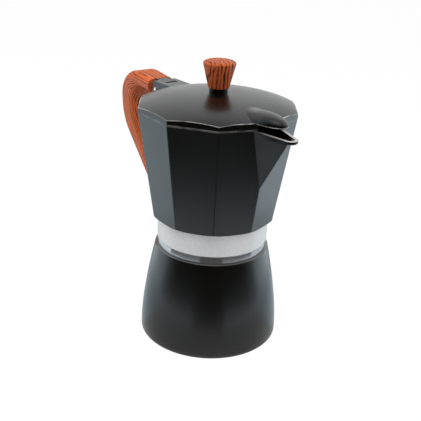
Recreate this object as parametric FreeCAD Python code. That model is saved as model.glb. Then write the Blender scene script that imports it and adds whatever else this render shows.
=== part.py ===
import FreeCAD
import Part
import math
import os

# Moka pot: a stove-top coffee maker that comes apart into boiler, filter basket and upper chamber.
# Millimetres, +Z up. The origin is the centre of the underside, the spout points along +X and the
# handle along -X.

# Boiler: a turned bell with a polished band and a threaded neck
boiler_radius = 51.9
boiler_belly_start = 4.0
boiler_belly_control = 27.6
boiler_shoulder_radius = 42.2
boiler_shoulder_height = 71.3
boiler_foot_round = 2.5
boiler_wall = 3.6
boiler_floor = 5.0
boiler_inside_round = 6.0
band_radius = 40.4
band_length = 5.6
neck_radius = 36.0
neck_length = 12.6
neck_bore_radius = 32.0
neck_slope_length = 7.0

# Safety valve in the boiler's wall
valve_angle = 126.0
valve_height = 45.0
valve_boss_radius = 9.0
valve_boss_length = 8.0
valve_boss_proud = 0.6
valve_shank_radius = 5.0
valve_hex_across_flats = 14.0
valve_hex_length = 5.0
valve_barrel_radius = 5.4
valve_barrel_length = 6.0
valve_seal_thickness = 1.2
valve_seal_radius = 7.4
valve_inlet_radius = 1.6
valve_inlet_length = 3.0
valve_chamber_radius = 3.2
valve_cap_length = 2.4
valve_stem_radius = 1.3
valve_stem_proud = 2.2
valve_head_radius = 2.8
valve_head_length = 2.0
valve_spring_radius = 2.2
valve_spring_wire = 0.35
valve_spring_turns = 5.0

# Filter basket: cup, sieve and suction stem
basket_clearance = 0.5
basket_sheet = 0.9
basket_flange_radius = 34.6
basket_cup_depth = 21.0
basket_funnel_depth = 6.0
basket_collar_length = 5.0
stem_radius = 4.5
stem_bore_radius = 3.5
stem_floor_gap = 3.5
stem_foot_radius = 5.4
sieve_thickness = 0.8
sieve_hole_radius = 1.0
sieve_ring_pitch = 6.6
sieve_rings = 3

# Gasket and filter plate under the upper chamber
gasket_radius = 33.0
gasket_bore_radius = 26.5
gasket_thickness = 3.4
gasket_recess_depth = 3.0
plate_radius = 29.4
plate_thickness = 1.0
plate_hole_radius = 1.0
plate_ring_pitch = 6.2
plate_rings = 4

# Upper chamber: ten flat sides over a bare turned skirt
chamber_sides = 10
chamber_bottom_corner = 44.9
chamber_rim_corner = 57.3
chamber_height = 78.8
chamber_wall = 2.6
chamber_floor = 4.6
chamber_edge_round = 1.6
chamber_foot_inset = 0.8
chamber_foot_flare = 4.4
chamber_foot_height = 6.0
skirt_radius = 40.7
skirt_gap = 0.5
skirt_top_step = 0.4
funnel_radius = 26.0
funnel_height = 7.0
floor_cone_radius = 34.0
floor_cone_height = 7.5

# Column that carries the coffee up into the chamber
column_foot_radius = 8.0
column_top_radius = 6.0
column_bore_radius = 3.6
column_height = 54.0
column_spigot_radius = 5.6
column_roof = 3.0
column_window_width = 5.0
column_window_height = 6.0

# Spout, a beak folded out of one corner of the chamber
spout_depth = 42.9
spout_mouth_half = 11.2
spout_ridge_half = 1.2
spout_reach = 20.0
spout_lip_half = 5.4
spout_lip_flare = 4.4
spout_lip_height = 4.2
spout_lip_drop = 1.6
spout_wall = 2.2
spout_ridge_wall = 5.0
spout_root_share = 0.02
spout_channel_share = 0.12

# Lid: a dome cut by the ten sides, with a hood over the spout
lid_gap = 0.25
lid_corner_height = 2.9
lid_dome_rise = 9.2
lid_dome_control = 37.5
lid_wall = 2.0
lid_boss_radius = 6.6
lid_boss_height = 3.2
hood_centre = 52.0
hood_length = 19.4
hood_half_width = 10.2
hood_height = 6.4
hood_base_rise = 4.1

# Hinge behind the lid
hinge_offset = 9.2
hinge_rise = 0.6
hinge_top_rise = 6.2
hinge_gusset_drop = 18.6
hinge_knuckle_half = 4.6
hinge_knuckle_radius = 8.6
hinge_side_gap = 0.4
hinge_ear_width = 4.4
hinge_ear_tail = 3.3
hinge_ear_foot = 3.6
hinge_ear_round = 2.2
hinge_pad_length = 11.0
hinge_pin_radius = 1.5
hinge_pin_proud = 0.35

# Handle: an arm out of the hinge block that bends down into a free tail
handle_root_offset = 7.3
handle_arm_height = 10.6
handle_half_width = 11.8
handle_tip_half_width = 8.0
handle_arm_slope = 6.0
handle_arm_length = 18.0
handle_outer_bend = 23.0
handle_outer_drop = 4.0
handle_sweep_bend = 40.0
handle_sweep_angle = 41.0
handle_tail_length = 43.0
handle_inner_arm = 14.5
handle_inner_bend = 10.0
handle_inner_drop = 6.5
handle_inner_sweep = 28.0
handle_taper = 8.0
handle_edge_round = 5.0
handle_tip_round = 4.0
tang_length = 15.0
tang_height = 4.8
tang_screw_offset = 8.0
tang_lift = 1.2
tang_cover = 1.2

# Knob, its threaded insert and the screw that holds it
knob_foot_radius = 7.4
knob_top_radius = 11.7
knob_height = 18.8
knob_edge_round = 2.6
insert_radius = 3.4
insert_length = 11.0
knob_screw_radius = 2.0
knob_screw_head_radius = 3.8
knob_screw_head_height = 2.2
knob_washer_radius = 5.2
knob_washer_thickness = 0.8

# Handle screw
handle_screw_radius = 1.9
handle_screw_head_radius = 3.4
handle_screw_head_height = 1.5

# Clearances between neighbours
thread_clearance = 0.3
seat_gap = 0.1
pin_clearance = 0.05
press_clearance = 0.02
slip_clearance = 0.2
valve_play = 0.3
screw_end_gap = 1.0

# How far a cutter runs past a face, and how near an edge has to be to be picked
overshoot = 1.0
near = 0.05

# Heights that follow from the stack of parts
band_top = boiler_shoulder_height + band_length
neck_top = band_top + neck_length
skirt_bottom = band_top + skirt_gap
flange_top = neck_top + seat_gap + basket_sheet
gasket_bottom = flange_top + seat_gap
gasket_top = gasket_bottom + gasket_thickness
seat_height = gasket_top + seat_gap
chamber_bottom = seat_height + skirt_top_step
chamber_rim = chamber_bottom + chamber_height
floor_height = chamber_bottom + chamber_floor
column_seat = floor_height + floor_cone_height
lid_bottom = chamber_rim + lid_gap
lid_corner = lid_bottom + lid_corner_height
lid_apex = lid_corner + lid_dome_rise
knob_bottom = lid_apex + lid_boss_height
hinge_x = -(chamber_rim_corner + hinge_offset)
hinge_z = chamber_rim + hinge_rise
hinge_top = hinge_z + hinge_top_rise
handle_root = hinge_x - handle_root_offset
ear_inner = hinge_knuckle_half + hinge_side_gap
ear_outer = ear_inner + hinge_ear_width

corner_angle = 2 * math.pi / chamber_sides
flat_share = math.cos(corner_angle / 2)
high = 400.0


def point(x, y, z):
    return FreeCAD.Vector(x, y, z)


axis_z = point(0, 0, 1)
origin = point(0, 0, 0)


def turned_edges(edges):
    """Solid of revolution about Z from a closed chain of edges in the XZ plane."""
    face = Part.Face(Part.Wire(edges))
    return face.revolve(origin, axis_z, 360)


def turned(outline):
    """Solid of revolution about Z from closed corners given as (radius, height)."""
    corners = [point(radius, 0, height) for radius, height in outline]
    face = Part.Face(Part.makePolygon(corners + corners[:1]))
    return face.revolve(origin, axis_z, 360)


def cylinder(radius, low, top):
    return Part.makeCylinder(radius, top - low, point(0, 0, low))


def box(x_low, x_high, y_low, y_high, z_low, z_high):
    corner = point(x_low, y_low, z_low)
    return Part.makeBox(x_high - x_low, y_high - y_low, z_high - z_low, corner)


def side_plate(outline, y_low, y_high):
    """Plate cut from an (x, z) outline and as thick as the stretch from y_low to y_high."""
    corners = [point(x, y_low, z) for x, z in outline]
    face = Part.Face(Part.makePolygon(corners + corners[:1]))
    return face.extrude(point(0, y_high - y_low, 0))


def rounded_rings(solid, radius, rings):
    """Fillet the circular edges about Z that lie at the given (radius, height) places."""
    picked = []
    for edge in solid.Edges:
        start = edge.valueAt(edge.FirstParameter)
        reach = math.hypot(start.x, start.y)
        flat = edge.BoundBox.ZLength < near
        if flat and any(abs(reach - r) < near and abs(start.z - z) < near for r, z in rings):
            picked.append(edge)
    return solid.makeFillet(radius, picked)


def line(start, end):
    return Part.makeLine(point(start[0], 0, start[1]), point(end[0], 0, end[1]))


def bend(start, control, end):
    """Curve with one control point, tangent at each end to the line towards that point."""
    curve = Part.BezierCurve()
    curve.setPoles([point(x, 0, z) for x, z in (start, control, end)])
    return curve.toShape()


def boiler_wall_at(height):
    """Outer radius of the boiler's bell at a height, from the curve that bend() draws."""
    rise = boiler_belly_control - boiler_belly_start
    curvature = boiler_shoulder_height - 2 * boiler_belly_control + boiler_belly_start
    below = height - boiler_belly_start
    share = (math.sqrt(rise * rise + curvature * below) - rise) / curvature
    return boiler_radius - (boiler_radius - boiler_shoulder_radius) * share * share


def valve_face():
    """Distance from the pot's axis to the flat face of the valve's boss, clear of the wall below it."""
    return boiler_wall_at(valve_height - valve_boss_radius) + valve_boss_proud


def radial(solid):
    """Turn a solid drawn along +Z so that it points out of the boiler at the valve's place."""
    solid = solid.copy()
    solid.rotate(origin, point(0, 1, 0), 90)
    solid.rotate(origin, axis_z, valve_angle)
    solid.translate(point(0, 0, valve_height))
    return solid


def boiler():
    foot = (boiler_radius, 0)
    belly = (boiler_radius, boiler_belly_start)
    shoulder = (boiler_shoulder_radius, boiler_shoulder_height)
    outline = [(0, 0), foot, belly]
    upper = [shoulder, (band_radius, boiler_shoulder_height), (band_radius, band_top)]
    upper += [(neck_radius, band_top), (neck_radius, neck_top), (0, neck_top), (0, 0)]
    edges = [line(a, b) for a, b in zip(outline, outline[1:])]
    edges.append(bend(belly, (boiler_radius, boiler_belly_control), shoulder))
    edges += [line(a, b) for a, b in zip(upper, upper[1:])]
    solid = rounded_rings(turned_edges(edges), boiler_foot_round, [foot])
    boss_top = valve_face()
    solid = solid.fuse(radial(cylinder(valve_boss_radius, boss_top - valve_boss_length, boss_top)))
    slope_top = band_top - boiler_wall
    slope_low = slope_top - neck_slope_length
    inner_top = (boiler_wall_at(slope_low) - boiler_wall, slope_low)
    inner_low = (boiler_radius - boiler_wall, boiler_floor)
    inner = [inner_top, (neck_bore_radius, slope_top), (neck_bore_radius, neck_top), (0, neck_top)]
    inner += [(0, boiler_floor), inner_low]
    edges = [line(a, b) for a, b in zip(inner, inner[1:])]
    edges.append(bend(inner_low, (boiler_radius - boiler_wall, boiler_belly_control), inner_top))
    hollow = rounded_rings(turned_edges(edges), boiler_inside_round, [inner_low])
    keep = radial(cylinder(valve_boss_radius, boss_top - valve_boss_length, boss_top))
    hollow = hollow.cut(keep)
    bore_low = boss_top - 2 * valve_boss_length
    bore = radial(cylinder(valve_shank_radius + press_clearance, bore_low, boss_top + overshoot))
    return solid.cut(hollow).cut(bore).removeSplitter()


def valve_places():
    """Named stations along the valve's axis, as distances from the pot's axis."""
    face = valve_face()
    hex_low = face + valve_seal_thickness
    outer = hex_low + valve_hex_length + valve_barrel_length
    inner = face - valve_boss_length
    seat = inner + valve_inlet_length
    return {"face": face, "hex": hex_low, "outer": outer, "inner": inner, "seat": seat}


def valve_body():
    at = valve_places()
    corner_radius = valve_hex_across_flats / 2 / math.cos(math.pi / 6)
    corners = []
    for step in range(6):
        angle = step * math.pi / 3
        corners.append(point(corner_radius * math.cos(angle), corner_radius * math.sin(angle), at["hex"]))
    hexagon = Part.Face(Part.makePolygon(corners + corners[:1]))
    hexagon = hexagon.extrude(point(0, 0, valve_hex_length))
    solid = cylinder(valve_shank_radius, at["inner"], at["hex"])
    solid = solid.fuse(hexagon)
    solid = solid.fuse(cylinder(valve_barrel_radius, at["hex"] + valve_hex_length, at["outer"]))
    solid = solid.cut(cylinder(valve_inlet_radius, at["inner"] - overshoot, at["seat"] + overshoot))
    solid = solid.cut(cylinder(valve_chamber_radius, at["seat"], at["outer"] + overshoot))
    return radial(solid.removeSplitter())


def valve_seal():
    at = valve_places()
    ring = cylinder(valve_seal_radius, at["face"], at["hex"])
    bore_radius = valve_shank_radius + press_clearance
    return radial(ring.cut(cylinder(bore_radius, at["face"] - overshoot, at["hex"] + overshoot)))


def valve_cap():
    at = valve_places()
    low = at["outer"] - valve_cap_length
    cap = cylinder(valve_chamber_radius - press_clearance, low, at["outer"])
    return radial(cap.cut(cylinder(valve_stem_radius + valve_play, low - overshoot, at["outer"] + overshoot)))


def valve_piston():
    at = valve_places()
    low = at["seat"] + seat_gap
    stem_top = at["outer"] + valve_stem_proud
    head = cylinder(valve_head_radius, low, low + valve_head_length)
    solid = head.fuse(cylinder(valve_stem_radius, low, stem_top)).removeSplitter()
    return radial(rounded_rings(solid, valve_stem_radius / 2, [(valve_stem_radius, stem_top)]))


def valve_spring():
    """Coil between the piston's head and the cap, closed at each end by the wire's own thickness."""
    at = valve_places()
    low = at["seat"] + seat_gap + valve_head_length + valve_spring_wire + seat_gap
    top = at["outer"] - valve_cap_length - valve_spring_wire - seat_gap
    pitch = (top - low) / valve_spring_turns
    path = Part.makeHelix(pitch, top - low, valve_spring_radius)
    start = point(valve_spring_radius, 0, 0)
    ring = Part.Wire(Part.makeCircle(valve_spring_wire, start, point(0, 1, 0)))
    coil = Part.Wire(path.Edges).makePipeShell([ring], True, True)
    coil.translate(point(0, 0, low))
    return radial(coil)


def basket_levels():
    """Heights of the basket from its flange down to the collar that grips the stem."""
    flange_low = neck_top + seat_gap
    cup_low = flange_low - basket_cup_depth
    funnel_low = cup_low - basket_funnel_depth
    return flange_low, cup_low, funnel_low


def basket():
    flange_low, cup_low, funnel_low = basket_levels()
    outer = neck_bore_radius - basket_clearance
    inner = outer - basket_sheet
    throat = stem_radius + press_clearance
    collar_low = funnel_low - basket_collar_length
    collar = throat + basket_sheet
    outline = [(inner, flange_top), (basket_flange_radius, flange_top), (basket_flange_radius, flange_low)]
    outline += [(outer, flange_low), (outer, cup_low), (collar, funnel_low), (collar, collar_low)]
    outline += [(throat, collar_low), (throat, funnel_low + basket_sheet), (inner, cup_low + basket_sheet)]
    return turned(outline)


def basket_stem():
    flange_low, cup_low, funnel_low = basket_levels()
    low = boiler_floor + stem_floor_gap
    flare = stem_foot_radius - stem_radius
    outline = [(stem_bore_radius, funnel_low), (stem_radius, funnel_low), (stem_radius, low + 2 * flare)]
    outline += [(stem_foot_radius, low), (stem_bore_radius + flare, low), (stem_bore_radius, low + 2 * flare)]
    return turned(outline)


def perforated(radius, low, thickness, hole_radius, ring_pitch, rings):
    """Disc with a hole at its centre and rings of six, twelve, eighteen and more holes around it."""
    disc = cylinder(radius, low, low + thickness)
    drill = cylinder(hole_radius, low - overshoot, low + thickness + overshoot)
    holes = [drill]
    for ring in range(1, rings + 1):
        count = 6 * ring
        for step in range(count):
            hole = drill.copy()
            angle = 2 * math.pi * step / count
            reach = ring * ring_pitch
            hole.translate(point(reach * math.cos(angle), reach * math.sin(angle), 0))
            holes.append(hole)
    return disc.cut(Part.makeCompound(holes))


def basket_sieve():
    flange_low, cup_low, funnel_low = basket_levels()
    radius = neck_bore_radius - basket_clearance - basket_sheet - slip_clearance
    low = cup_low + basket_sheet + seat_gap
    return perforated(radius, low, sieve_thickness, sieve_hole_radius, sieve_ring_pitch, sieve_rings)


def gasket():
    """Ring with a rebate along its upper inner edge, which holds the filter plate."""
    rebate = gasket_top - plate_thickness
    ledge = plate_radius + slip_clearance
    outline = [(gasket_bore_radius, gasket_bottom), (gasket_radius, gasket_bottom)]
    outline += [(gasket_radius, gasket_top), (ledge, gasket_top), (ledge, rebate)]
    outline += [(gasket_bore_radius, rebate)]
    return turned(outline)


def filter_plate():
    low = gasket_top - plate_thickness
    return perforated(plate_radius, low, plate_thickness, plate_hole_radius, plate_ring_pitch, plate_rings)


def corner_at(height):
    """Corner radius of the chamber's ten-sided section at a height."""
    share = (height - chamber_bottom) / chamber_height
    return chamber_bottom_corner + (chamber_rim_corner - chamber_bottom_corner) * share


def ten_sides(corner_radius, height):
    corners = []
    for step in range(chamber_sides):
        angle = step * corner_angle
        corners.append(point(corner_radius * math.cos(angle), corner_radius * math.sin(angle), height))
    return Part.makePolygon(corners + corners[:1])


def ten_sided_block(low, top, inset):
    """Tapered block between two heights, with the chamber's sides moved in by the inset."""
    move = inset / flat_share
    wires = [ten_sides(corner_at(low) - move, low), ten_sides(corner_at(top) - move, top)]
    return Part.makeLoft(wires, True, True)


def straight_block(low, top, inset):
    """Upright ten-sided block whose sides are flush with the chamber's rim, moved in by the inset."""
    wire = ten_sides(chamber_rim_corner - inset / flat_share, low)
    return Part.Face(wire).extrude(point(0, 0, top - low))


def rounded_corners(block, height, radius):
    """Round the corners that run up a ten-sided block."""
    upright = [edge for edge in block.Edges if edge.BoundBox.ZLength > height / 2]
    return block.makeFillet(radius, upright)


def turned_foot(top):
    """Turned blank whose rounded foot trims the low end of the ten sides to a circle."""
    low = chamber_bottom
    foot = chamber_bottom_corner * flat_share - chamber_foot_inset
    start = (foot, low)
    end = (foot + chamber_foot_flare, low + chamber_foot_height)
    edges = [line((0, low), start), bend(start, (end[0], low), end)]
    rest = [end, (2 * chamber_rim_corner, top), (0, top), (0, low)]
    edges += [line(a, b) for a, b in zip(rest, rest[1:])]
    return turned_edges(edges)


def spout_section(share, mouth_half, front_half, setback, front_move):
    """Outline of the spout at a share of its depth, falling a little from the wall to its front edge.

    The front moves evenly away from the corner of the chamber, and both the mouth on the sides of
    the chamber and the round of the front widen evenly with height.
    """
    height = chamber_rim - spout_depth * (1 - share)
    corner = corner_at(height)
    mouth = mouth_half * share
    half = front_half * share
    front = corner + spout_reach * share + front_move
    side = corner - mouth * math.tan(corner_angle / 2) - setback
    deep = corner - spout_mouth_half
    slope = spout_lip_drop / (spout_mouth_half + spout_reach + spout_lip_flare)
    turn = front - half
    outline = [(turn, half), (side, mouth), (deep, mouth), (deep, -mouth), (side, -mouth), (turn, -half)]
    corners = [point(x, y, height - slope * (x - deep)) for x, y in outline]
    nose = Part.Arc(corners[-1], point(front, 0, height - slope * (front - deep)), corners[0])
    edges = [Part.makeLine(a, b) for a, b in zip(corners, corners[1:])]
    return Part.Wire(edges + [nose.toShape()])


def spout():
    """Outer form of the beak: two flat sides folded to a ridge, with a flared lip on top."""
    shares = (spout_root_share, 1.0)
    fold = [spout_section(share, spout_mouth_half, spout_ridge_half, 0, 0) for share in shares]
    lip_start = 1 - spout_lip_height / spout_depth
    lip = [spout_section(lip_start, spout_mouth_half, spout_ridge_half, 0, 0)]
    lip.append(spout_section(1.0, spout_mouth_half, spout_lip_half, 0, spout_lip_flare))
    return Part.makeLoft(fold, True, True).fuse(Part.makeLoft(lip, True, True))


def spout_channel():
    """Space inside the beak, open at the top and into the chamber."""
    mouth = spout_mouth_half - spout_wall
    ridge = spout_ridge_half / 2
    lip_half = spout_lip_half - spout_wall
    lip_move = spout_lip_flare - spout_wall
    above = 1 + overshoot / spout_depth
    shares = (spout_channel_share, above)
    fold = [spout_section(share, mouth, ridge, spout_wall, -spout_ridge_wall) for share in shares]
    lip_start = 1 - spout_lip_height / spout_depth
    flare = [spout_section(lip_start, mouth, ridge, spout_wall, -spout_ridge_wall)]
    flare.append(spout_section(1.0, mouth, lip_half, spout_wall, lip_move))
    flare.append(spout_section(above, mouth, lip_half, spout_wall, lip_move))
    return Part.makeLoft(fold, True, True).fuse(Part.makeLoft(flare, True, True))


def hinge_knuckle():
    """Lug behind the rim that carries the hinge pin, on a gusset down the corner of the chamber."""
    foot = chamber_rim - hinge_gusset_drop
    inside = -(corner_at(foot) - chamber_wall / 2)
    back = handle_root + seat_gap
    low = hinge_z - hinge_ear_foot
    outline = [(inside, foot), (-chamber_rim_corner + chamber_wall, chamber_rim), (hinge_x, chamber_rim)]
    outline += [(back, hinge_z), (back, low), (hinge_x, low)]
    web = side_plate(outline, -hinge_knuckle_half, hinge_knuckle_half)
    across = point(0, 2 * hinge_knuckle_half, 0)
    centre = point(hinge_x, -hinge_knuckle_half, hinge_z)
    barrel = Part.makeCylinder(hinge_knuckle_radius, 2 * hinge_knuckle_half, centre, across)
    flat = box(back, 0, -high, high, low, hinge_top)
    knuckle = barrel.common(flat)
    return web.fuse(knuckle)


def tang_levels():
    middle = hinge_top - handle_arm_height / 2 + tang_lift
    return middle - tang_height / 2, middle + tang_height / 2


def tang():
    """Tongue of the casting that the handle slides over."""
    low, top = tang_levels()
    back = handle_root - tang_length
    return box(back, hinge_x, -hinge_knuckle_half, hinge_knuckle_half, low, top)


def tang_screw_x():
    return handle_root - tang_screw_offset


def pin_hole(radius):
    start = point(hinge_x, -high, hinge_z)
    return Part.makeCylinder(radius, 2 * high, start, point(0, 1, 0))


def upper_chamber():
    body = ten_sided_block(chamber_bottom, chamber_rim, 0)
    body = rounded_corners(body, chamber_height, chamber_edge_round)
    body = body.common(turned_foot(chamber_rim))
    body = body.fuse(cylinder(skirt_radius, skirt_bottom, floor_height))
    body = body.fuse(spout()).fuse(hinge_knuckle()).fuse(tang())
    hollow = ten_sided_block(floor_height, chamber_rim + overshoot, chamber_wall)
    cone = Part.makeCone(floor_cone_radius, column_foot_radius, floor_cone_height, point(0, 0, floor_height))
    body = body.cut(hollow.cut(cone)).cut(spout_channel())
    recess_low = seat_height - gasket_recess_depth
    body = body.cut(cylinder(neck_radius + thread_clearance, skirt_bottom - overshoot, recess_low))
    body = body.cut(cylinder(gasket_radius + slip_clearance, recess_low - overshoot, seat_height))
    throat = column_spigot_radius + press_clearance
    body = body.cut(Part.makeCone(funnel_radius, throat, funnel_height, point(0, 0, seat_height)))
    body = body.cut(cylinder(throat, seat_height, column_seat + overshoot))
    body = body.cut(pin_hole(hinge_pin_radius + press_clearance))
    low, top = tang_levels()
    screw_start = point(tang_screw_x(), 0, low)
    body = body.cut(Part.makeCylinder(handle_screw_radius + press_clearance, tang_height, screw_start))
    return body.removeSplitter()


def column():
    """Tapered riser with a spigot pressed into the chamber's floor and two windows under its roof."""
    top = column_seat + column_height
    low = column_seat - floor_cone_height / 2
    outline = [(0, low), (column_spigot_radius, low), (column_spigot_radius, column_seat + seat_gap)]
    outline += [(column_foot_radius, column_seat + seat_gap), (column_top_radius, top), (0, top)]
    solid = rounded_rings(turned(outline), column_roof / 2, [(column_top_radius, top)])
    solid = solid.cut(cylinder(column_bore_radius, low - overshoot, top - column_roof))
    window_top = top - column_roof
    half = column_window_width / 2
    window = box(-half, half, -high, high, window_top - column_window_height, window_top)
    return solid.cut(window)


def dome(apex, control, edge_radius, edge_height, low):
    """Solid under a dome whose outline leaves the axis level and bends down to its edge."""
    edges = [bend((0, apex), (control, apex), (edge_radius, edge_height))]
    rest = [(edge_radius, edge_height), (edge_radius, low), (0, low), (0, apex)]
    edges += [line(a, b) for a, b in zip(rest, rest[1:])]
    return turned_edges(edges)


def egg(length, half_width, height):
    """Half egg over the spout, with its flat side at the height where the hood begins."""
    half_ball = Part.makeSphere(1.0, origin, axis_z, 0, 90, 360)
    half_ball.rotate(origin, axis_z, 180)
    stretch = FreeCAD.Matrix()
    stretch.scale(length, half_width, height)
    shape = half_ball.transformGeometry(stretch)
    shape.translate(point(hood_centre, 0, lid_bottom + hood_base_rise))
    return shape


def lid_ear(side):
    """Arm of the lid beside the knuckle, with a rounded tail around the hinge pin."""
    tail = hinge_x - hinge_ear_tail
    foot = hinge_z - hinge_ear_foot
    root = -(chamber_rim_corner - hinge_pad_length)
    slope = hinge_ear_foot / 2
    outline = [(root, hinge_top), (tail, hinge_top), (tail, hinge_z - slope), (hinge_x - slope, foot)]
    outline += [(hinge_x + slope, foot), (-chamber_rim_corner - slip_clearance, lid_bottom)]
    outline += [(root, lid_bottom)]
    low, top = sorted((side * ear_inner, side * ear_outer))
    plate = side_plate(outline, low, top)
    corner = [edge for edge in plate.Edges if abs(edge.CenterOfMass.x - tail) < near
              and abs(edge.CenterOfMass.z - hinge_top) < near]
    return plate.makeFillet(hinge_ear_round, corner)


def lid():
    shell = dome(lid_apex, lid_dome_control, chamber_rim_corner, lid_corner, lid_bottom)
    shell = shell.common(straight_block(lid_bottom, lid_apex, 0))
    root = -(chamber_rim_corner - hinge_pad_length)
    pad = box(-chamber_rim_corner, root, -ear_outer, ear_outer, lid_corner, hinge_top)
    shell = shell.fuse(pad).fuse(egg(hood_length, hood_half_width, hood_height))
    shell = shell.fuse(cylinder(lid_boss_radius, lid_corner, knob_bottom))
    for side in (-1, 1):
        shell = shell.fuse(lid_ear(side))
    below = lid_bottom - overshoot
    inner_edge = chamber_rim_corner - lid_wall
    under = dome(lid_apex - lid_wall, lid_dome_control, inner_edge, lid_corner - lid_wall / 2, below)
    under = under.common(straight_block(below, lid_apex, lid_wall))
    shell = shell.cut(under)
    shell = shell.cut(egg(hood_length - lid_wall, hood_half_width - lid_wall, hood_height - lid_wall))
    base = lid_bottom + hood_base_rise
    gate = hood_half_width - lid_wall
    shell = shell.cut(box(hood_centre - hood_length / 2, high, -gate, gate, below, base))
    shell = shell.cut(cylinder(knob_screw_radius + slip_clearance, lid_bottom, knob_bottom + overshoot))
    shell = shell.cut(pin_hole(hinge_pin_radius + pin_clearance))
    return shell.removeSplitter()


def hinge_pin():
    reach = ear_outer + hinge_pin_proud
    start = point(hinge_x, -reach, hinge_z)
    pin = Part.makeCylinder(hinge_pin_radius, 2 * reach, start, point(0, 1, 0))
    ends = [edge for edge in pin.Edges if edge.BoundBox.YLength < near]
    return pin.makeFillet(hinge_pin_radius / 3, ends)


def knob():
    """Tapered knob, wider at the top, with a blind hole for its threaded insert."""
    top = knob_bottom + knob_height
    low = knob_bottom + seat_gap
    shoulder = (knob_top_radius, top - knob_edge_round / 2)
    outline = [(0, low), (knob_foot_radius, low), shoulder]
    outline += [(knob_top_radius - knob_edge_round, top - seat_gap), (0, top)]
    solid = rounded_rings(turned(outline), knob_edge_round / 2, [shoulder])
    hole_top = low + insert_length + seat_gap
    return solid.cut(cylinder(insert_radius + press_clearance, low - overshoot, hole_top))


def knob_insert():
    low = knob_bottom + seat_gap
    top = low + insert_length
    sleeve = cylinder(insert_radius, low, top)
    return sleeve.cut(cylinder(knob_screw_radius + press_clearance, low - overshoot, top + overshoot))


def knob_washer():
    top = lid_apex - lid_wall - seat_gap
    ring = cylinder(knob_washer_radius, top - knob_washer_thickness, top)
    return ring.cut(cylinder(knob_screw_radius + slip_clearance, lid_bottom, top + overshoot))


def pan_screw(radius, head_radius, head_height, low, top):
    """Screw standing on its head: a rounded head at the bottom and a plain shank above it."""
    head = rounded_rings(cylinder(head_radius, low, low + head_height), head_height / 2, [(head_radius, low)])
    return head.fuse(cylinder(radius, low, top)).removeSplitter()


def knob_screw():
    under = lid_apex - lid_wall - 2 * seat_gap - knob_washer_thickness
    low = under - knob_screw_head_height
    top = knob_bottom + insert_length - screw_end_gap
    return pan_screw(knob_screw_radius, knob_screw_head_radius, knob_screw_head_height, low, top)


def walk(start, heading, moves):
    """Chain of tangent straight runs and left-hand bends in the XZ plane.

    A move is (length, 0) for a straight run or (radius, angle) for a bend. Returns the edges and
    the place where the chain ends.
    """
    x, z = start
    edges = []
    for size, turn in moves:
        angle = math.radians(heading)
        if turn == 0:
            end = (x + size * math.cos(angle), z + size * math.sin(angle))
            edges.append(line((x, z), end))
        else:
            centre = (x - size * math.sin(angle), z + size * math.cos(angle))
            stops = []
            for part in (0.5, 1.0):
                away = math.radians(heading + turn * part)
                stops.append((centre[0] + size * math.sin(away), centre[1] - size * math.cos(away)))
            trio = [point(px, 0, pz) for px, pz in ((x, z), stops[0], stops[1])]
            edges.append(Part.Arc(*trio).toShape())
            end = stops[1]
            heading += turn
        x, z = end
    return edges, (x, z)


def handle_form():
    """Arm, bend and tail from one side view, narrowing towards the tip and rounded all along."""
    heading = 180 - handle_arm_slope
    quarter = 90 + handle_arm_slope
    top = (handle_root, hinge_top)
    low = (handle_root, hinge_top - handle_arm_height)
    outer_moves = [(handle_arm_length, 0), (handle_outer_bend, quarter), (handle_outer_drop, 0)]
    outer_moves += [(handle_sweep_bend, handle_sweep_angle), (handle_tail_length, 0)]
    outer, tip = walk(top, heading, outer_moves)
    inner_angle = handle_sweep_angle - handle_taper
    inner_moves = [(handle_inner_arm, 0), (handle_inner_bend, quarter), (handle_inner_drop, 0)]
    inner_moves += [(handle_inner_sweep, inner_angle)]
    inner, knee = walk(low, heading, inner_moves)
    lean = math.radians(inner_angle)
    square = math.radians(handle_sweep_angle)
    along = (tip[0] - knee[0]) * math.sin(square) - (tip[1] - knee[1]) * math.cos(square)
    length = along / math.cos(square - lean)
    end = (knee[0] + length * math.sin(lean), knee[1] - length * math.cos(lean))
    edges = outer + [line(tip, end), line(end, knee)] + inner[::-1] + [line(low, top)]
    face = Part.Face(Part.Wire(Part.__sortEdges__(edges)))
    face.translate(point(0, -handle_half_width, 0))
    bar = face.extrude(point(0, 2 * handle_half_width, 0))
    crown = hinge_top + handle_outer_bend
    outline = [(-handle_half_width, crown), (handle_half_width, crown), (handle_half_width, hinge_top)]
    outline += [(handle_tip_half_width, tip[1]), (-handle_tip_half_width, tip[1])]
    outline += [(-handle_half_width, hinge_top)]
    corners = [point(-high, y, z) for y, z in outline]
    front = Part.Face(Part.makePolygon(corners + corners[:1])).extrude(point(2 * high, 0, 0))
    bar = bar.common(front)
    tip_edges = []
    for edge in bar.Edges:
        middle = edge.CenterOfMass
        at_tip = any(math.hypot(middle.x - x, middle.z - z) < near for x, z in (tip, end))
        if at_tip and edge.BoundBox.YLength > handle_tip_half_width:
            tip_edges.append(edge)
    bar = bar.makeFillet(handle_tip_round, tip_edges)
    long_edges = []
    for edge in bar.Edges:
        across = edge.BoundBox.YLength > handle_tip_half_width
        at_root = edge.CenterOfMass.x > handle_root - near
        if not across and not at_root:
            long_edges.append(edge)
    return bar.makeFillet(handle_edge_round, long_edges)


def handle():
    form = handle_form()
    low, top = tang_levels()
    gap = slip_clearance
    back = handle_root - tang_length - gap
    half = hinge_knuckle_half + gap
    form = form.cut(box(back, handle_root + overshoot, -half, half, low - gap, top + gap))
    start = point(tang_screw_x(), 0, hinge_top - 2 * handle_arm_height)
    form = form.cut(Part.makeCylinder(handle_screw_radius + gap, low - start.z, start))
    return form.cut(Part.makeCylinder(handle_screw_head_radius + gap, handle_screw_seat() - start.z, start))


def handle_screw_seat():
    low, top = tang_levels()
    return low - slip_clearance - tang_cover


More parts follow.
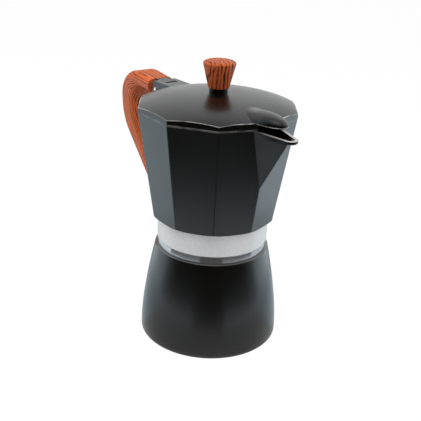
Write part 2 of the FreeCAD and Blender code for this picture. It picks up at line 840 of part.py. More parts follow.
def handle_screw():
    seat = handle_screw_seat() - seat_gap
    low, top = tang_levels()
    head = handle_screw_head_height
    screw = pan_screw(handle_screw_radius, handle_screw_head_radius, head, seat - head, top - screw_end_gap)
    screw.translate(point(tang_screw_x(), 0, 0))
    return screw


nodes = {
    "boiler": boiler,
    "valve_body": valve_body,
    "valve_seal": valve_seal,
    "valve_cap": valve_cap,
    "valve_piston": valve_piston,
    "valve_spring": valve_spring,
    "basket": basket,
    "basket_stem": basket_stem,
    "basket_sieve": basket_sieve,
    "gasket": gasket,
    "filter_plate": filter_plate,
    "upper_chamber": upper_chamber,
    "column": column,
    "lid": lid,
    "hinge_pin": hinge_pin,
    "knob": knob,
    "knob_insert": knob_insert,
    "knob_washer": knob_washer,
    "knob_screw": knob_screw,
    "handle": handle,
    "handle_screw": handle_screw,
}

os.makedirs("parts", exist_ok=True)
for name, build in nodes.items():
    shape = build()
    shape.exportStep(f"parts/{name}.step")
    print(name, shape.isValid(), len(shape.Solids), round(shape.Volume, 1))
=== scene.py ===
import math

import bpy
import numpy as np
from mathutils import Matrix, Vector


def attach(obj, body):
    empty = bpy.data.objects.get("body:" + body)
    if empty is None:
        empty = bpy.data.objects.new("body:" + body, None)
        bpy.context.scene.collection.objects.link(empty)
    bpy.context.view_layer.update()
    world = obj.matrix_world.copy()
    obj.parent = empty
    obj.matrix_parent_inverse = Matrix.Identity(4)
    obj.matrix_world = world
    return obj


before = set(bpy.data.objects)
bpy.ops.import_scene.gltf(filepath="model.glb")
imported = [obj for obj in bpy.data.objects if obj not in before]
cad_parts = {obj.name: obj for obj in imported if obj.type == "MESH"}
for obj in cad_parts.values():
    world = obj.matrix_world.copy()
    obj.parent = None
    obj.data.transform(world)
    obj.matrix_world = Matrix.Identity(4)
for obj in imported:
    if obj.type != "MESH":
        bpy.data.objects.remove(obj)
bpy.context.view_layer.update()

# Places and sizes on the pot, in millimetres, as the solids have them. The thread's half width is a
# share of its pitch, and its fade is one over the share of its length that each end sinks in.
shoulder_height = 71.3
bell_start = 4.0
bell_curve = 0.0021444
bell_inner = (48.8, 49.8)
band_top = 76.9
skirt_top = 94.5
floor_height = 99.1
rim_height = 173.3
rim_corner = 57.3
bottom_corner = 44.9
inner_wall = (41.0, 41.6)
channel_x = (41.0, 48.0)
channel_z = (126.0, 134.0)
lid_flat = 54.5
lid_bottom = 173.55
lid_corner = 176.45
lid_apex = 185.65
lid_control = 37.5
side_angle = math.radians(36.0)
hood_centre = 52.0
hood_low = 177.65
hood_size = (19.4, 10.2, 6.4)
hood_edge_x = (44.0, 46.0)
no_edge_x = (46.0, 50.0)
hood_blend = 3.0
fillet_x = (30.0, 53.4)
fillet_half_width = 13.0
fillet_drop = 12.0
fillet_sunk = 0.06
neck_radius = 36.0
thread_low = 79.6
thread_high = 88.6
thread_pitch = 4.0
thread_height = 0.22
thread_half_width = 0.27
thread_sunk = 0.05
thread_fade = 16
lip_nose = (76.28, 5.4)
lip_pale_x = (73.0, 77.0)
lip_flank = math.radians(14.4)
lip_flank_length = 13.0
lip_top = 172.77
lip_top_fall = 0.0452
lip_top_start = 58.0
bead_radius = 1.1
bead_inset = 1.18
bead_sunk = 0.05

# The camera of the photograph: its place in metres, where it looks and how it leans
image_size = 421
focal_pixels = 760.73
camera_place = (0.4129, -0.3170, 0.3129)
camera_forward = (-0.7331, 0.5603, -0.3854)
camera_roll = 0.0457
centre_right_pixels = 0.84
centre_down_pixels = 0.59
sensor_width = 36.0

# Handle lines in the XZ plane, in millimetres: a point of each outer run and its inward direction
arm_line = ((-73.8, 180.1), (-0.1045, -0.9945))
drop_line = ((-117.1, 155.1), (1.0, 0.0))
tail_line = ((-107.3, 128.9), (0.7547, 0.6561))
handle_middle = (-85.0, 150.0)


class Wire:
    """One output of a node. Operators on it add Math nodes to its finish."""

    def __init__(self, finish, socket):
        self.finish = finish
        self.socket = socket

    def pair(self, operation, *values):
        return self.finish.node("ShaderNodeMath", {"operation": operation}, dict(enumerate(values)))

    def math(self, operation, *others):
        return self.pair(operation, self, *others)

    def __add__(self, other):
        return self.pair("ADD", self, other)

    def __radd__(self, other):
        return self.pair("ADD", other, self)

    def __sub__(self, other):
        return self.pair("SUBTRACT", self, other)

    def __rsub__(self, other):
        return self.pair("SUBTRACT", other, self)

    def __mul__(self, other):
        return self.pair("MULTIPLY", self, other)

    def __rmul__(self, other):
        return self.pair("MULTIPLY", other, self)


class Finish:
    """A material or world built by expressions: one method adds any node, the rest are recipes."""

    def __init__(self, name, owner=None):
        self.owner = owner or bpy.data.materials.new(name)
        self.owner.use_nodes = True
        self.tree = self.owner.node_tree
        self.tree.nodes.clear()

    def node(self, kind, settings=None, inputs=None, output=0):
        made = self.tree.nodes.new(kind)
        for key, value in (settings or {}).items():
            if key == "stops":
                set_stops(made.color_ramp, value)
            else:
                setattr(made, key, value)
        for key, value in (inputs or {}).items():
            if isinstance(value, Wire):
                self.tree.links.new(value.socket, made.inputs[key])
            else:
                made.inputs[key].default_value = value
        return Wire(self, made.outputs[output]) if made.outputs else None

    def place(self):
        """Object coordinates in millimetres."""
        metres = self.node("ShaderNodeTexCoord", output="Object")
        return self.node("ShaderNodeVectorMath", {"operation": "SCALE"}, {0: metres, "Scale": 1000.0})

    def split(self, vector):
        return [self.node("ShaderNodeSeparateXYZ", {}, {0: vector}, axis) for axis in range(3)]

    def join(self, x, y, z):
        return self.node("ShaderNodeCombineXYZ", {}, {0: x, 1: y, 2: z})

    def noise(self, vector, scale, detail=2.0, roughness=0.5):
        inputs = {"Vector": vector, "Scale": scale, "Detail": detail, "Roughness": roughness}
        return self.node("ShaderNodeTexNoise", {}, inputs)

    def rise(self, value, low, high):
        """0 below low, 1 above high and a smooth step between them."""
        inputs = {0: value, 1: low, 2: high, 3: 0.0, 4: 1.0}
        return self.node("ShaderNodeMapRange", {"interpolation_type": "SMOOTHSTEP"}, inputs)

    def length(self, a, b):
        return (a * a + b * b).math("SQRT")

    def mix(self, share, first, second):
        return self.node("ShaderNodeMix", {"data_type": "RGBA"}, {0: share, 6: first, 7: second}, 2)

    def ramp(self, value, stops):
        return self.node("ShaderNodeValToRGB", {"stops": stops}, {0: value})

    def facing(self):
        """The face's own direction in object coordinates, so that it turns with its piece."""
        world = self.node("ShaderNodeNewGeometry", output="True Normal")
        settings = {"vector_type": "NORMAL", "convert_from": "WORLD", "convert_to": "OBJECT"}
        return self.split(self.node("ShaderNodeVectorTransform", settings, {0: world}))

    def flat_reach(self, x, y):
        """Distance from the axis measured square to the nearest of the ten sides."""
        fold = y.math("ARCTAN2", x).math("FLOORED_MODULO", side_angle) - side_angle / 2
        return self.length(x, y) * fold.math("COSINE")

    def bump(self, height, strength, distance_mm):
        inputs = {"Height": height, "Strength": strength, "Distance": distance_mm / 1000}
        return self.node("ShaderNodeBump", {}, inputs)

    def surface(self, inputs):
        shader = self.node("ShaderNodeBsdfPrincipled", {}, inputs)
        self.node("ShaderNodeOutputMaterial", {}, {0: shader})
        return self.owner


def set_stops(ramp, stops):
    while len(ramp.elements) < len(stops):
        ramp.elements.new(1.0)
    for element, (position, colour) in zip(ramp.elements, stops):
        element.position = position
        element.color = (*colour, 1.0)


def colour(red, green, blue):
    return (red, green, blue, 1.0)


coat_colour = colour(0.0015, 0.0013, 0.0011)
coat_worn_colour = colour(0.0032, 0.0029, 0.0026)
# Pale colour of the edge lines on the lid and the rim: partly wear, partly painted highlight
edge_wear_and_highlight_colour = colour(0.40, 0.39, 0.38)
cast_colour = colour(0.42, 0.42, 0.425)
bare_dark_colour = colour(0.36, 0.36, 0.365)
bare_light_colour = colour(0.55, 0.55, 0.55)
skirt_dark_colour = colour(0.40, 0.405, 0.405)
skirt_light_colour = colour(0.61, 0.615, 0.615)
rim_colour = colour(0.08, 0.078, 0.076)
machined_colour = colour(0.42, 0.40, 0.39)
band_colour = colour(0.41, 0.395, 0.392)


def coat(finish, place):
    """Satin black coat: soft clouds of roughness and a fine powder grain."""
    clouds = finish.noise(place, 0.05, 3.0)
    grain = finish.noise(place, 2.6, 2.0, 0.6)
    base = finish.mix(clouds, coat_colour, coat_worn_colour)
    rough = 0.27 + 0.10 * clouds + 0.06 * grain
    return base, rough, grain


def turned_lines(finish, place):
    """Fine lathe lines round the axis, as noise stretched far round it, with a little cloud."""
    x, y, z = finish.split(place)
    lines = finish.noise(finish.join(x * 0.04, y * 0.04, z * 2.2), 1.0, 3.0, 0.7)
    grain = finish.noise(place, 1.7, 3.0, 0.65)
    return lines * 0.6 + grain * 0.4


def worn_patches(finish, place):
    """1 where an edge has lost its coat and 0 where it has kept it."""
    return finish.rise(finish.noise(place, 0.12, 3.0), 0.35, 0.6)


def boiler_finish():
    """Black coat outside, a polished dark band, and bare cast metal inside and on the neck."""
    finish = Finish("boiler_coat")
    place = finish.place()
    x, y, z = finish.split(place)
    reach = finish.length(x, y)
    base, rough, grain = coat(finish, place)
    lines = turned_lines(finish, place)
    below = finish.rise(z, shoulder_height - 0.05, shoulder_height + 0.05)
    above = finish.rise(z, band_top - 0.1, band_top - 0.02)
    band = below * (1 - above)
    up = z - bell_start
    under = 1 - finish.rise(z, 0.02, 0.12)
    inside = (1 - finish.rise(reach + up * up * bell_curve, *bell_inner)) * (1 - under)
    bare = inside.math("MAXIMUM", above)
    base = finish.mix(band, base, band_colour)
    base = finish.mix(bare, base, finish.mix(lines, bare_dark_colour, bare_light_colour))
    metal = band.math("MAXIMUM", bare * 0.8)
    rough = rough * 0.85 * (1 - band) + band * (0.07 + 0.08 * lines)
    rough = rough * (1 - bare) + bare * (0.34 + 0.2 * lines)
    rings = (reach * 5.2).math("SINE")
    height = grain * 0.6 + rings * under * 0.8 + lines * bare
    normal = finish.bump(height, 0.10, 0.05)
    return finish.surface({"Base Color": base, "Roughness": rough, "Metallic": metal, "Normal": normal})


def chamber_finish():
    """Black coat over the ten sides, a bare satin skirt, a bare inside, a worn dark rim, a machined
    pale lip at the spout, and a pale line along the rim's outer edge that is partly wear and partly
    painted highlight."""
    finish = Finish("chamber_coat")
    place = finish.place()
    x, y, z = finish.split(place)
    base, rough, grain = coat(finish, place)
    lines = turned_lines(finish, place)
    facing = finish.facing()
    skirt = 1 - finish.rise(z, skirt_top - 0.06, skirt_top + 0.02)
    near_rim = finish.rise(z, rim_height - 2.6, rim_height - 2.3)
    near_rim = near_rim * (1 - finish.rise(z, rim_height + 0.1, rim_height + 0.3))
    rim = near_rim * finish.rise(facing[2], 0.85, 0.95)
    taper = (rim_corner - bottom_corner) / (rim_height - skirt_top) * math.cos(side_angle / 2)
    wall = finish.flat_reach(x, y) - (z - skirt_top) * taper
    inside = 1 - finish.rise(wall, *inner_wall)
    inside = inside * finish.rise(z, floor_height - 0.5, floor_height)
    inside = inside * (1 - finish.rise(x, *channel_x) * finish.rise(z, *channel_z))
    inside = inside * (1 - rim)
    bare = skirt.math("MAXIMUM", inside)
    base = finish.mix(inside, base, cast_colour)
    mottle = finish.rise(finish.noise(place, 0.9, 4.0, 0.7), 0.25, 0.75)
    skirt_shade = finish.mix(lines * 0.6 + mottle * 0.4, skirt_dark_colour, skirt_light_colour)
    base = finish.mix(skirt, base, skirt_shade)
    towards_spout = finish.rise(x, rim_corner - 1.0, rim_corner + 5.0)
    base = finish.mix(rim, base, finish.mix(towards_spout, rim_colour, machined_colour))
    # Pale line along the rim's outer edge and the lip: painted highlight, patchy with wear, and paler
    # towards the spout where the lip is machined bare
    edge_wear_and_highlight = finish.rise(z, rim_height - 0.85, rim_height - 0.45) * (1 - inside) * (1 - rim)
    edge_wear_and_highlight = edge_wear_and_highlight * (1 - finish.rise(z, rim_height + 0.05, rim_height + 0.2))
    edge_wear_and_highlight = edge_wear_and_highlight * (0.04 + 0.16 * worn_patches(finish, place) + 0.35 * towards_spout)
    lip = finish.rise(x, *lip_pale_x) * finish.rise(z, rim_height - 3.2, rim_height - 2.6)
    edge_wear_and_highlight = edge_wear_and_highlight.math("MAXIMUM", lip * 0.15 * (1 - inside) * (1 - rim))
    base = finish.mix(edge_wear_and_highlight, base, edge_wear_and_highlight_colour)
    rough = rough * (1 - bare) + bare * (0.38 + 0.22 * lines)
    rough = rough * (1 - rim) + rim * 0.32
    metal = (inside * 0.8).math("MAXIMUM", skirt * 0.12 + rim * 0.5)
    height = grain * (1 - bare) * 0.6 + lines * bare
    normal = finish.bump(height, 0.10, 0.06)
    return finish.surface({"Base Color": base, "Roughness": rough, "Metallic": metal, "Normal": normal})


def lid_finish():
    """Black coat on top, pale lines on its edges that are painted highlight broken by wear, and bare cast
    metal underneath.
    """
    finish = Finish("lid_coat")
    place = finish.place()
    base, rough, grain = coat(finish, place)
    facing = finish.facing()
    under = 1 - finish.rise(facing[2], -0.5, -0.2)
    base = finish.mix(under, base, cast_colour)
    x, y, z = finish.split(place)
    flat = finish.flat_reach(x, y)
    # Pale lines along the dome's edge, the lid's bottom edge and the hood's edge are painted highlights,
    # broken up by patches of wear
    edge_wear_and_highlight = finish.rise(flat, lid_flat - 0.65, lid_flat - 0.3) * finish.rise(facing[2], 0.1, 0.3)
    edge_wear_and_highlight = edge_wear_and_highlight * (1 - finish.rise(x, *no_edge_x)) * (1 - finish.rise(-1 * x, *no_edge_x))
    edge_wear_and_highlight = edge_wear_and_highlight.math("MAXIMUM", 0.5 - finish.rise(z, lid_bottom + 0.2, lid_bottom + 0.5) * 0.5)
    hood_edge = finish.rise(z, hood_low - 0.05, hood_low)
    hood_edge = hood_edge * (1 - finish.rise(z, hood_low + 0.35, hood_low + 0.6))
    hood_edge = hood_edge * finish.rise(flat, lid_flat - 1.2, lid_flat - 0.4)
    hood_edge = hood_edge * finish.rise(x, *hood_edge_x)
    edge_wear_and_highlight = edge_wear_and_highlight.math("MAXIMUM", hood_edge)
    edge_wear_and_highlight = edge_wear_and_highlight * (0.2 + 0.5 * worn_patches(finish, place)) * (1 - under)
    base = finish.mix(edge_wear_and_highlight, base, edge_wear_and_highlight_colour)
    rough = rough * 0.8 * (1 - under) + under * 0.45
    normal = finish.bump(grain, 0.07, 0.05)
    inputs = {"Base Color": base, "Roughness": rough, "Metallic": under * 0.8, "Normal": normal}
    return finish.surface(inputs)


wood_stops = [(0.0, (0.53, 0.122, 0.036)), (0.28, (0.40, 0.081, 0.020)),
              (0.62, (0.18, 0.029, 0.006)), (1.0, (0.05, 0.008, 0.002))]


def wood_finish(across, side, along, depth, weight):
    """Red-brown wood: dark lines at even steps across the grain, bent by slow noise along it. The
    weight is the strength of the lines, and the depth darkens all of it."""
    finish = across.finish
    slow = finish.noise(finish.join(across * 0.10, side * 0.10, along * 0.02), 1.0, 2.0)
    fine = finish.noise(finish.join(across * 2.2, side * 2.2, along * 0.05), 1.0, 4.0, 0.65)
    broken = finish.noise(finish.join(across * 0.5, side * 0.5, along * 0.06), 1.0, 2.0)
    phase = across * 3.1 + side * 1.3 + slow * 8.0
    lines = finish.rise(phase.math("SINE"), 0.1, 1.0)
    dark = lines * (0.25 + 0.75 * finish.rise(broken, 0.35, 0.62)) * weight + (fine - 0.40) * 0.9
    base = finish.ramp(dark + depth, wood_stops)
    rough = 0.48 + 0.14 * fine
    normal = finish.bump(1 - dark, 0.22, 0.10)
    inputs = {"Base Color": base, "Roughness": rough, "Normal": normal, "Specular IOR Level": 0.2}
    return finish.surface(inputs)


def depth_from(x, z, line):
    """Distance inwards from one of the handle's outer runs."""
    (start_x, start_z), (in_x, in_z) = line
    return (x - start_x) * in_x + (z - start_z) * in_z


def handle_finish():
    """Grain that follows the arm, the bend and the tail: the depth below the outer outline and y
    are the two directions across it, and the angle round the handle's middle runs along it."""
    finish = Finish("handle_wood")
    x, y, z = finish.split(finish.place())
    depths = [depth_from(x, z, line) for line in (arm_line, drop_line, tail_line)]
    across = depths[0].math("SMOOTH_MIN", depths[1], 24.0).math("SMOOTH_MIN", depths[2], 14.0)
    turn = (z - handle_middle[1]).math("ARCTAN2", handle_middle[0] - x)
    return wood_finish(across * 1.45, y * 1.45, turn * 38.0, 0.06, 1.0)


def knob_finish():
    """Grain up the knob, slightly off its axis, and swaying."""
    finish = Finish("knob_wood")
    x, y, z = finish.split(finish.place())
    sway = finish.noise(finish.join(x, y, z * 0.22), 0.13, 2.0)
    across = x * 0.62 + y * 0.78 + z * 0.04 + sway * 7.0
    side = y * 0.62 - x * 0.78
    return wood_finish(across * 0.75, side * 0.75, z, 0.17, 0.95)


def metal_finish(name, dark, light, rough, stretch):
    """Drawn or turned metal: noise stretched along one direction shades it and breaks its gloss."""
    finish = Finish(name)
    x, y, z = finish.split(finish.place())
    lines = finish.noise(finish.join(x * stretch[0], y * stretch[1], z * stretch[2]), 1.0, 3.0, 0.6)
    base = finish.mix(lines, colour(*dark), colour(*light))
    normal = finish.bump(lines, 0.08, 0.05)
    inputs = {"Base Color": base, "Roughness": rough + 0.15 * lines, "Metallic": 1.0, "Normal": normal}
    return finish.surface(inputs)


def rubber_finish():
    """Pale matt silicone with faint clouds."""
    finish = Finish("seal_silicone")
    place = finish.place()
    clouds = finish.noise(place, 0.25, 3.0)
    base = finish.mix(clouds, colour(0.70, 0.68, 0.63), colour(0.82, 0.80, 0.76))
    rough = 0.52 + 0.15 * clouds
    normal = finish.bump(finish.noise(place, 3.0, 2.0), 0.10, 0.05)
    return finish.surface({"Base Color": base, "Roughness": rough, "Normal": normal})


def dress_nodes():
    """Give each solid of the frame its finish, and return the finishes by node."""
    pale = (0.74, 0.74, 0.75)
    aluminium = metal_finish("inner_aluminium", (0.50, 0.50, 0.51), pale, 0.30, (0.4, 0.4, 3.0))
    brass = metal_finish("turned_brass", (0.55, 0.38, 0.15), (0.80, 0.60, 0.28), 0.22, (2.0, 2.0, 2.0))
    steel = metal_finish("bright_steel", (0.56, 0.56, 0.57), pale, 0.18, (2.0, 0.3, 2.0))
    silicone = rubber_finish()
    looks = {"boiler": boiler_finish(), "upper_chamber": chamber_finish(), "lid": lid_finish()}
    looks.update({"handle": handle_finish(), "knob": knob_finish()})
    for node in ("basket", "basket_stem", "basket_sieve", "filter_plate", "column"):
        looks[node] = aluminium
    for node in ("valve_body", "valve_cap", "valve_piston", "knob_insert"):
        looks[node] = brass
    for node in ("hinge_pin", "knob_screw", "knob_washer", "handle_screw", "valve_spring"):
        looks[node] = steel
    for node in ("gasket", "valve_seal"):
        looks[node] = silicone
    for node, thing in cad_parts.items():
        thing.data.materials.clear()
        thing.data.materials.append(looks[node])
    return looks


def grid_faces(rows, columns, closed):
    """Quads of a grid of rows by columns of points, joined round where it is closed."""
    last = columns if closed else columns - 1
    row, column = np.meshgrid(np.arange(rows - 1), np.arange(last), indexing="ij")
    beside = (column + 1) % columns
    corners = [row * columns + column, row * columns + beside]
    corners += [(row + 1) * columns + beside, (row + 1) * columns + column]
    return np.stack(corners, axis=-1).reshape(-1, 4)


def grid_object(name, points, closed=False):
    """Object from an array of points, rows by columns by three, in metres."""
    mesh = bpy.data.meshes.new(name)
    rows, columns = points.shape[:2]
    mesh.from_pydata(points.reshape(-1, 3).tolist(), [], grid_faces(rows, columns, closed).tolist())
    mesh.polygons.foreach_set("use_smooth", np.ones(len(mesh.polygons), bool))
    thing = bpy.data.objects.new(name, mesh)
    bpy.context.scene.collection.objects.link(thing)
    return thing


def dome_height(reach):
    """Height of the lid's dome at a distance from the axis: a parabola with one control point."""
    bend = 2 * lid_control - rim_corner
    share = (lid_control - np.sqrt(lid_control ** 2 - bend * reach)) / bend
    return lid_apex - (lid_apex - lid_corner) * share ** 2


def hood_fillet(finish):
    """Rounded valley between the hood and the dome: over x and y, the smooth larger one of the two
    heights, sunk a little so that it shows only where it fills the valley."""
    widths = np.linspace(-fillet_half_width, fillet_half_width, 100)
    x, y = np.meshgrid(np.linspace(*fillet_x, 90), widths, indexing="ij")
    dome = dome_height(np.hypot(x, y))
    out = ((x - hood_centre) / hood_size[0]) ** 2 + (y / hood_size[1]) ** 2
    hood = hood_low + hood_size[2] * np.sqrt(np.clip(1 - out, 0.0, 1.0))
    hood = hood - fillet_drop * np.clip(out - 1, 0.0, 1.0)
    share = np.clip(0.5 + 0.5 * (dome - hood) / hood_blend, 0.0, 1.0)
    height = dome * share + hood * (1 - share) + hood_blend * share * (1 - share) - fillet_sunk
    thing = grid_object("hood_fillet", np.stack([x, y, height], axis=-1) / 1000)
    thing.data.materials.append(finish)
    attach(thing, "cover")


def bead_finish():
    """The same satin black coat, without bare places."""
    finish = Finish("bead_coat")
    base, rough, grain = coat(finish, finish.place())
    normal = finish.bump(grain, 0.07, 0.05)
    return finish.surface({"Base Color": base, "Roughness": rough, "Normal": normal})


def lip_bead():
    """Rolled edge under the spout's lip: a circle carried along the lip's outline, a straight flank,
    the round nose and the other flank, thinning to nothing at the far end of each flank."""
    arc = math.pi / 2 - lip_flank
    reach = arc * lip_nose[1] + lip_flank_length
    round_bead = np.linspace(0.0, 2 * math.pi, 17)[:-1]
    along, turn = np.meshgrid(np.linspace(-reach, reach, 160), round_bead, indexing="ij")
    angle = np.clip(along / lip_nose[1], -arc, arc)
    past = np.sign(along) * np.clip(np.abs(along) - arc * lip_nose[1], 0.0, None)
    radius = bead_radius * np.clip((reach - np.abs(along)) / lip_flank_length, 0.05, 1.0)
    out = lip_nose[1] - bead_inset + radius * np.cos(turn)
    x = lip_nose[0] + out * np.cos(angle) - past * np.sin(angle)
    y = out * np.sin(angle) + past * np.cos(angle)
    top = lip_top - lip_top_fall * (x - lip_top_start)
    height = top - bead_radius - bead_sunk + radius * np.sin(turn)
    thing = grid_object("lip_bead", np.stack([x, y, height], axis=-1) / 1000, True)
    thing.data.materials.append(bead_finish())
    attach(thing, "collector")


def neck_thread():
    """Raised thread round the boiler's neck: a low rounded profile carried along a helix that
    climbs one pitch a turn and sinks into the neck at both ends."""
    turns = (thread_high - thread_low) / thread_pitch
    along, across = np.meshgrid(np.linspace(0.0, 1.0, 260), np.linspace(-1.0, 1.0, 9), indexing="ij")
    angle = 2 * math.pi * turns * along
    fade = np.clip(np.minimum(along, 1 - along) * thread_fade, 0.0, 1.0)
    radius = neck_radius - thread_sunk + (thread_height + thread_sunk) * fade * (1 - across ** 4)
    height = thread_low + (thread_high - thread_low) * along
    height = height + across * thread_pitch * thread_half_width
    points = np.stack([radius * np.cos(angle), radius * np.sin(angle), height], axis=-1)
    thing = grid_object("neck_thread", points / 1000)
    finish = metal_finish("thread_metal", (0.36, 0.36, 0.365), (0.58, 0.58, 0.585), 0.30, (0.1, 0.1, 3.0))
    thing.data.materials.append(finish)
    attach(thing, "boiler")


def glow(name, shade, strength):
    """Plain light of one strength, for cards that only reflections see."""
    finish = Finish(name)
    light = finish.node("ShaderNodeEmission", {}, {"Color": shade, "Strength": strength})
    finish.node("ShaderNodeOutputMaterial", {}, {0: light})
    return finish.owner


def card(name, points, shade, strength):
    """A studio card that is seen only in reflections."""
    thing = grid_object(name, points)
    thing.data.materials.append(glow(name, shade, strength))
    thing.visible_camera = False
    thing.visible_diffuse = False
    thing.visible_shadow = False


def polar(radius, azimuth, height):
    return np.stack([radius * np.cos(azimuth), radius * np.sin(azimuth), height], axis=-1)


# The studio: its sectors as azimuths about the pot, its rings as distances in metres, its angles
# above the floor, the strength of each card and of the world, and the floor's own share of white
dark_from = math.radians(-122.0)
dark_to = math.radians(48.0)
core_from = math.radians(-108.0)
core_to = math.radians(33.0)
gap_from = math.radians(-58.0)
gap_to = math.radians(-15.0)
near_start = 0.056
dusk_start = 0.135
dusk_end = 0.178
dim_start = 0.205
dark_start = 0.226
back_from = math.radians(100.0)
back_to = math.radians(185.0)
side_start = 0.06
left_far = 0.18
right_far = 0.20
back_wall_from = math.radians(70.0)
back_wall_to = math.radians(215.0)
studio_radius = 1.2
card_height = 0.0008
wall_tilt = math.radians(62.0)
roof_tilt = math.radians(74.0)
floor_half = 3.0
near_light = 0.72
ring_light = 1.9
mid_light = 0.12
dim_light = 0.55
gap_light = 0.15
dark_light = 0.02
dusk_light = 0.4
back_light = 0.5
left_light = 1.02
left_far_light = 1.65
right_light = 1.08
right_far_light = 2.1
wall_light = 1.08
roof_light = 0.5
top_light = 1.5
world_light = 0.55
own_white = 0.97
room_colour = colour(0.98, 0.99, 1.0)
side_colour = colour(0.79, 0.92, 1.0)
dark_colour = colour(1.0, 0.8, 0.55)
pure_white = colour(1.0, 1.0, 1.0)


def floor_card(name, sector, reaches, shade, strength):
    """A card just over the floor, over one sector of the room between two distances."""
    azimuth, reach = np.meshgrid(np.linspace(*sector, 40), np.linspace(*reaches, 12))
    card(name, polar(reach, azimuth, np.full_like(reach, card_height)), shade, strength)


def wall_card(name, sector, shade, strength):
    """A card up the wall of one sector of the room, curved over towards the roof."""
    azimuth, tilt = np.meshgrid(np.linspace(*sector, 40), np.linspace(0.0, wall_tilt, 12))
    points = polar(studio_radius * np.cos(tilt), azimuth, studio_radius * np.sin(tilt))
    card(name, points, shade, strength)


def roof_card(name, tilts, strength):
    """A ring of the round roof between two angles above the floor."""
    azimuth, tilt = np.meshgrid(np.linspace(-math.pi, math.pi, 60), np.linspace(*tilts, 12))
    points = polar(studio_radius * np.cos(tilt), azimuth, studio_radius * np.sin(tilt))
    card(name, points, room_colour, strength)


def studio():
    """Pale floor, soft lamps and reflected cards: a dark side at the camera with paler rings on its
    floor, pale sides, a dim floor and a pale wall at the back, and a roof."""
    dark_sector, beyond = (core_from, core_to), (dark_start, studio_radius)
    left_dusk, right_dusk = (dark_from, core_from), (core_to, dark_to)
    left_side, right_side = (back_to, dark_from + 2 * math.pi), (dark_to, back_from)
    floor_card("near_floor_card", (dark_from, dark_to), (near_start, dusk_start), room_colour, near_light)
    for side, sector in (("left", (dark_from, gap_from)), ("right", (gap_to, dark_to))):
        floor_card(side + "_dusk_ring_card", sector, (dusk_start, dusk_end), side_colour, ring_light)
        floor_card(side + "_mid_ring_card", sector, (dusk_end, dim_start), room_colour, mid_light)
        floor_card(side + "_dim_ring_card", sector, (dim_start, dark_start), room_colour, dim_light)
    floor_card("gap_floor_card", (gap_from, gap_to), (dusk_start, dark_start), room_colour, gap_light)
    floor_card("dark_floor_card", dark_sector, beyond, dark_colour, dark_light)
    floor_card("left_dusk_card", left_dusk, beyond, side_colour, dusk_light)
    floor_card("right_dusk_card", right_dusk, beyond, side_colour, dusk_light)
    back = (back_from, back_to)
    floor_card("back_floor_card", back, (side_start, studio_radius), side_colour, back_light)
    floor_card("left_floor_card", left_side, (side_start, left_far), side_colour, left_light)
    floor_card("left_far_card", left_side, (left_far, studio_radius), side_colour, left_far_light)
    floor_card("right_floor_card", right_side, (side_start, right_far), side_colour, right_light)
    floor_card("right_far_card", right_side, (right_far, studio_radius), side_colour, right_far_light)
    wall_card("dark_wall_card", dark_sector, dark_colour, dark_light)
    wall_card("left_dusk_wall_card", left_dusk, side_colour, dusk_light)
    wall_card("right_dusk_wall_card", right_dusk, side_colour, dusk_light)
    wall_card("back_wall_card", (back_wall_from, back_wall_to), room_colour, wall_light)
    roof_card("dim_roof_card", (wall_tilt, roof_tilt), roof_light)
    roof_card("top_card", (roof_tilt, math.radians(89.9)), top_light)

    side = np.linspace(-floor_half, floor_half, 2)
    floor_x, floor_y = np.meshgrid(side, side)
    floor = grid_object("floor", np.stack([floor_x, floor_y, np.zeros_like(floor_x)], axis=-1))
    floor.data.materials.append(floor_finish())

    lamp("top_lamp", (0.15, -0.25, 1.1), 0.9, 9.0)
    lamp("left_lamp", (-0.75, -0.75, 0.75), 0.6, 4.2)
    lamp("right_lamp", (0.65, 0.75, 0.75), 0.6, 5.0)


def surroundings():
    """White to the camera, bluish white in reflections, and a dimmer white as a light."""
    finish = Finish("studio", bpy.data.worlds.new("studio"))
    finish.owner.cycles.sampling_method = "NONE"
    mirrored = finish.node("ShaderNodeLightPath", output="Is Glossy Ray")
    seen = finish.node("ShaderNodeLightPath", output="Is Camera Ray")
    light = finish.node("ShaderNodeBackground", {}, {"Color": room_colour, "Strength": world_light})
    sides = finish.node("ShaderNodeBackground", {}, {"Color": side_colour, "Strength": 1.0})
    white = finish.node("ShaderNodeBackground", {}, {"Color": pure_white, "Strength": 1.0})
    both = finish.node("ShaderNodeMixShader", {}, {0: mirrored, 1: light, 2: sides})
    both = finish.node("ShaderNodeMixShader", {}, {0: seen, 1: both, 2: white})
    finish.node("ShaderNodeOutputWorld", {}, {0: both})
    bpy.context.scene.world = finish.owner


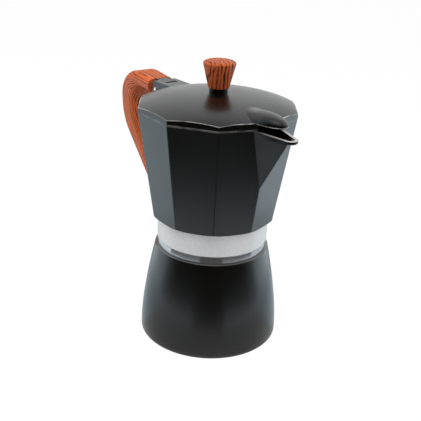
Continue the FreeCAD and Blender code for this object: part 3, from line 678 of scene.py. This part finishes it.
def floor_finish():
    """White floor: seen straight it is mostly its own white, with the soft shadow left in it."""
    finish = Finish("floor_white")
    place = finish.place()
    clouds = finish.noise(place, 0.01, 2.0)
    base = finish.mix(clouds, colour(0.90, 0.90, 0.90), colour(0.92, 0.92, 0.92))
    paper = finish.node("ShaderNodeBsdfDiffuse", {}, {"Color": base})
    white = finish.node("ShaderNodeEmission", {}, {"Color": pure_white, "Strength": 1.0})
    straight = finish.node("ShaderNodeLightPath", output="Is Camera Ray")
    both = finish.node("ShaderNodeMixShader", {}, {0: straight * own_white, 1: paper, 2: white})
    finish.node("ShaderNodeOutputMaterial", {}, {0: both})
    return finish.owner


def lamp(name, place, size, watts):
    """A round soft lamp aimed at the pot, seen neither straight nor in reflections."""
    light = bpy.data.lights.new(name, "AREA")
    light.shape = "DISK"
    light.size = size
    light.energy = watts
    thing = bpy.data.objects.new(name, light)
    thing.location = place
    aim = Vector((0, 0, 0.1)) - Vector(place)
    thing.rotation_euler = aim.to_track_quat("-Z", "Y").to_euler()
    thing.visible_glossy = False
    thing.visible_camera = False
    bpy.context.scene.collection.objects.link(thing)


def photo_camera():
    """Camera fitted to the photograph: place, direction, roll, focal length and image centre."""
    forward = Vector(camera_forward).normalized()
    right = forward.cross(Vector((0, 0, 1))).normalized()
    up = right.cross(forward)
    lean_right = right * math.cos(camera_roll) + up * math.sin(camera_roll)
    lean_up = up * math.cos(camera_roll) - right * math.sin(camera_roll)
    turn = Matrix((lean_right, lean_up, -forward)).transposed().to_4x4()
    data = bpy.data.cameras.new("photo_camera")
    data.sensor_width = sensor_width
    data.lens = focal_pixels / image_size * sensor_width
    data.shift_x = -centre_right_pixels / image_size
    data.shift_y = centre_down_pixels / image_size
    data.clip_start = 0.01
    thing = bpy.data.objects.new("photo_camera", data)
    thing.matrix_world = Matrix.Translation(Vector(camera_place)) @ turn
    bpy.context.scene.collection.objects.link(thing)
    bpy.context.scene.camera = thing


looks = dress_nodes()
hood_fillet(looks["lid"])
lip_bead()
neck_thread()
studio()
surroundings()
photo_camera()
bpy.context.scene.view_settings.view_transform = "Standard"

bpy.context.view_layer.update()
